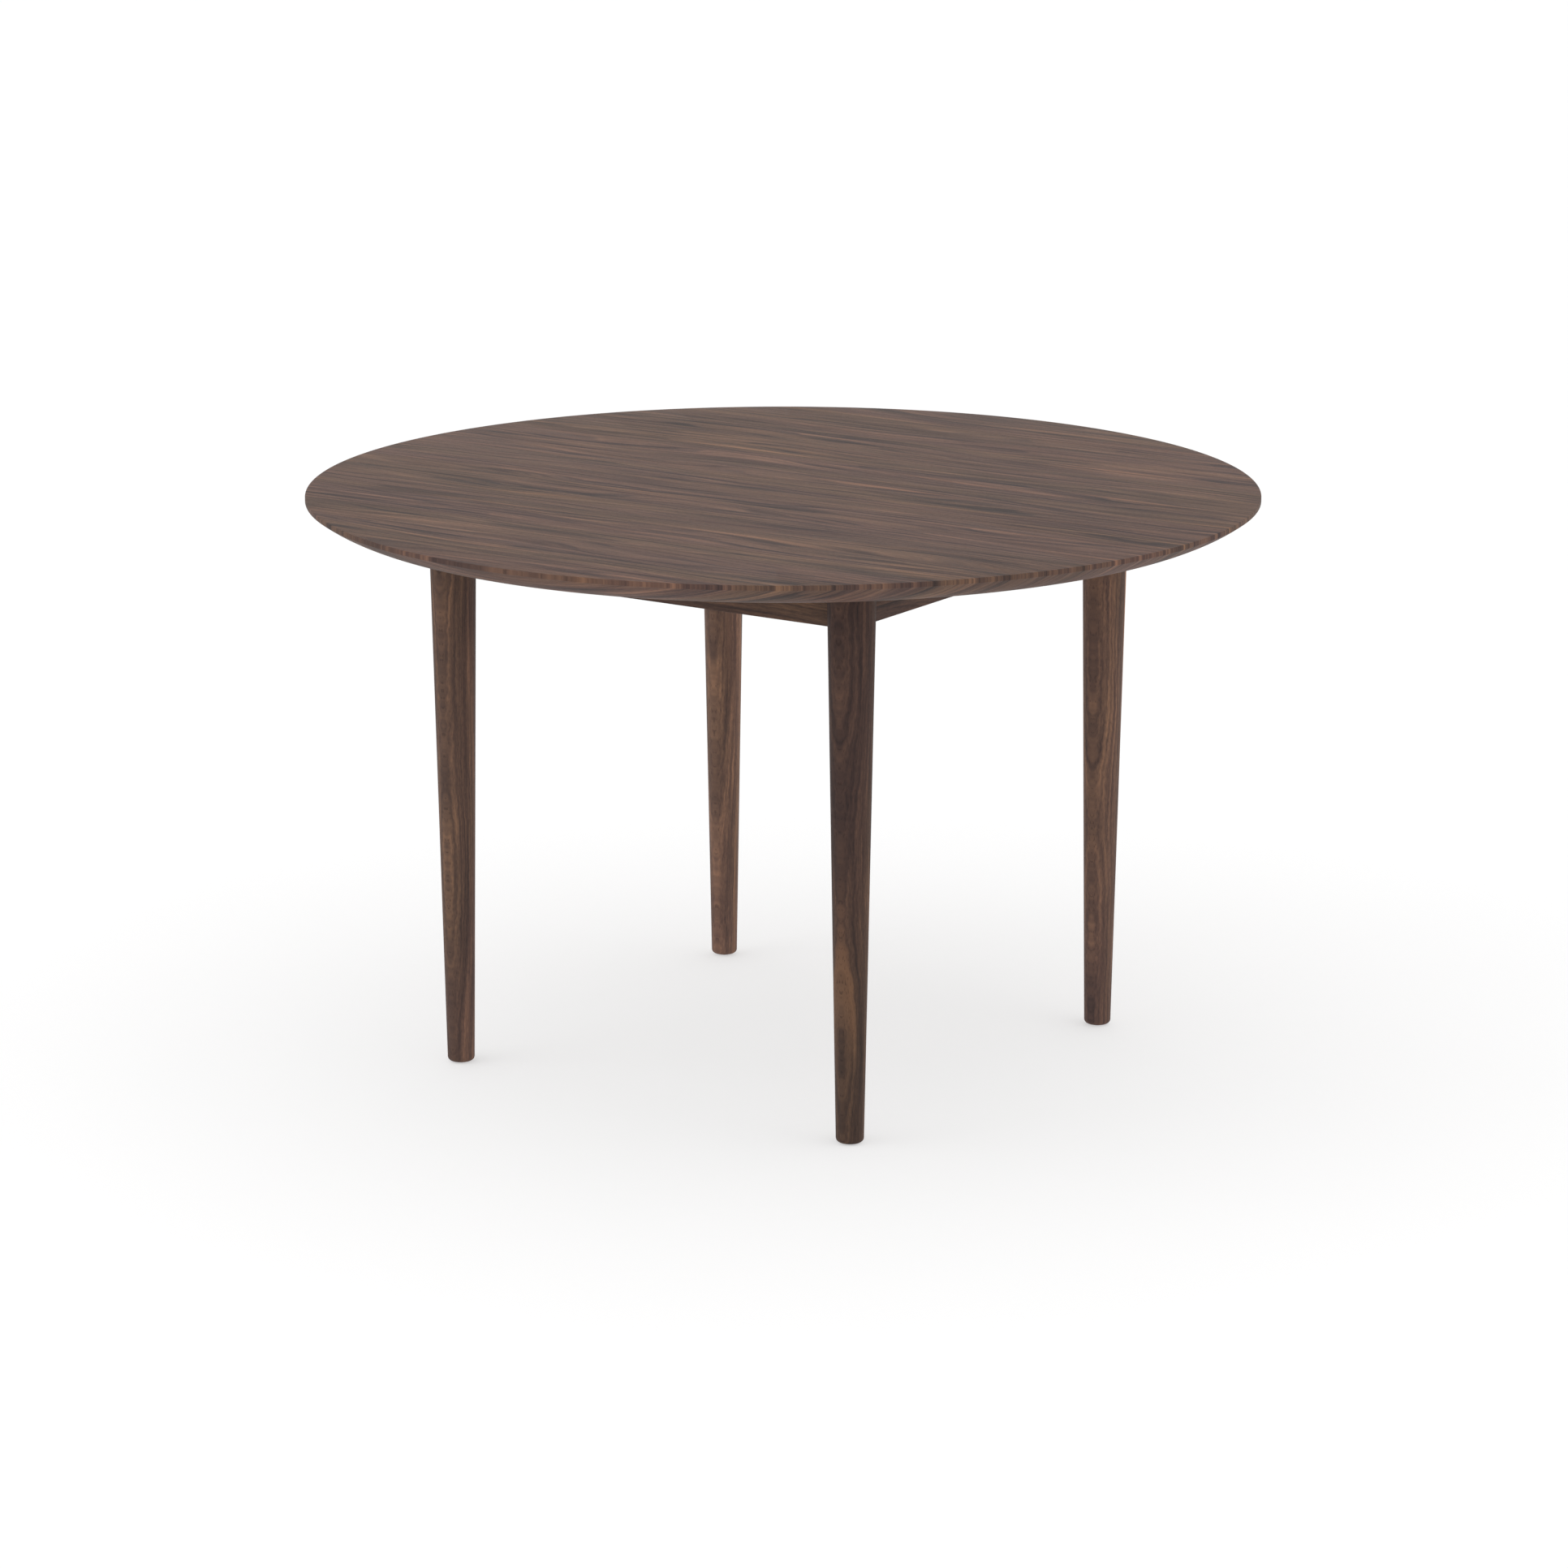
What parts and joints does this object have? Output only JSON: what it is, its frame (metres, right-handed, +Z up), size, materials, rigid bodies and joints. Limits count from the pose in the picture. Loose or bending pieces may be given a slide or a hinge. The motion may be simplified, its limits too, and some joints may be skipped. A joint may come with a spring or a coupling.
{
  "type": "round dining table",
  "caption": "Round solid-wood dining table with a thin undercut edge, a square frame of rails, straight round tapered legs and adjustable foot glides.",
  "frame": {"origin": "on the floor under the middle of the top", "axes": "+Z up; X along the grain of the top; -Y is the front"},
  "size_m": [1.2, 1.2, 0.73],
  "materials": {
    "top_wood": "oiled walnut, satin, grain along X",
    "leg_wood": "oiled walnut, satin, grain along the leg",
    "rail_wood": "oiled walnut, satin, grain along the rail",
    "plate_steel": "bare pressed sheet",
    "zinc_steel": "zinc plated",
    "pad_nylon": "moulded nylon"
  },
  "bodies": {
    "table": {"top_stave_01": "top_wood", "top_stave_02": "top_wood", "top_stave_03": "top_wood", "top_stave_04": "top_wood", "top_stave_05": "top_wood", "top_stave_06": "top_wood", "top_stave_07": "top_wood", "top_stave_08": "top_wood", "top_stave_09": "top_wood", "top_stave_10": "top_wood", "top_stave_11": "top_wood", "top_stave_12": "top_wood", "leg_rear_right": "leg_wood", "leg_rear_left": "leg_wood", "leg_front_left": "leg_wood", "leg_front_right": "leg_wood", "rail_right": "rail_wood", "rail_rear": "rail_wood", "rail_left": "rail_wood", "rail_front": "rail_wood", "corner_plate_rear_right": "plate_steel", "corner_plate_rear_left": "plate_steel", "corner_plate_front_left": "plate_steel", "corner_plate_front_right": "plate_steel", "hanger_bolts": "zinc_steel", "bolt_washers": "zinc_steel", "bolt_nuts": "zinc_steel", "plate_screws": "zinc_steel", "top_clips": "plate_steel", "clip_screws": "zinc_steel", "foot_insert_rear_right": "zinc_steel", "foot_insert_rear_left": "zinc_steel", "foot_insert_front_left": "zinc_steel", "foot_insert_front_right": "zinc_steel"},
    "pad_rear_right": {"glide_pad_rear_right": "pad_nylon"},
    "stem_rear_right": {"glide_stem_rear_right": "zinc_steel"},
    "pad_rear_left": {"glide_pad_rear_left": "pad_nylon"},
    "stem_rear_left": {"glide_stem_rear_left": "zinc_steel"},
    "pad_front_left": {"glide_pad_front_left": "pad_nylon"},
    "stem_front_left": {"glide_stem_front_left": "zinc_steel"},
    "pad_front_right": {"glide_pad_front_right": "pad_nylon"},
    "stem_front_right": {"glide_stem_front_right": "zinc_steel"}
  },
  "joints": [
    {"name": "glide_travel_rear_right", "type": "slide", "parent": "table", "child": "pad_rear_right", "axis": [0, 0, -1], "range_m": [0, 0.01]},
    {"name": "glide_turn_rear_right", "type": "hinge", "parent": "pad_rear_right", "child": "stem_rear_right", "pos_m": [0.29698, 0.29698, 0.02], "axis": [0, 0, -1], "range_deg": [0, 2880]},
    {"name": "glide_travel_rear_left", "type": "slide", "parent": "table", "child": "pad_rear_left", "axis": [0, 0, -1], "range_m": [0, 0.01]},
    {"name": "glide_turn_rear_left", "type": "hinge", "parent": "pad_rear_left", "child": "stem_rear_left", "pos_m": [-0.29698, 0.29698, 0.02], "axis": [0, 0, -1], "range_deg": [0, 2880]},
    {"name": "glide_travel_front_left", "type": "slide", "parent": "table", "child": "pad_front_left", "axis": [0, 0, -1], "range_m": [0, 0.01]},
    {"name": "glide_turn_front_left", "type": "hinge", "parent": "pad_front_left", "child": "stem_front_left", "pos_m": [-0.29698, -0.29698, 0.02], "axis": [0, 0, -1], "range_deg": [0, 2880]},
    {"name": "glide_travel_front_right", "type": "slide", "parent": "table", "child": "pad_front_right", "axis": [0, 0, -1], "range_m": [0, 0.01]},
    {"name": "glide_turn_front_right", "type": "hinge", "parent": "pad_front_right", "child": "stem_front_right", "pos_m": [0.29698, -0.29698, 0.02], "axis": [0, 0, -1], "range_deg": [0, 2880]}
  ],
  "couplings": [
    {"joint": "glide_travel_rear_right", "follows": "glide_turn_rear_right", "m_per_rad": 0.00019894},
    {"joint": "glide_travel_rear_left", "follows": "glide_turn_rear_left", "m_per_rad": 0.00019894},
    {"joint": "glide_travel_front_left", "follows": "glide_turn_front_left", "m_per_rad": 0.00019894},
    {"joint": "glide_travel_front_right", "follows": "glide_turn_front_right", "m_per_rad": 0.00019894}
  ]
}
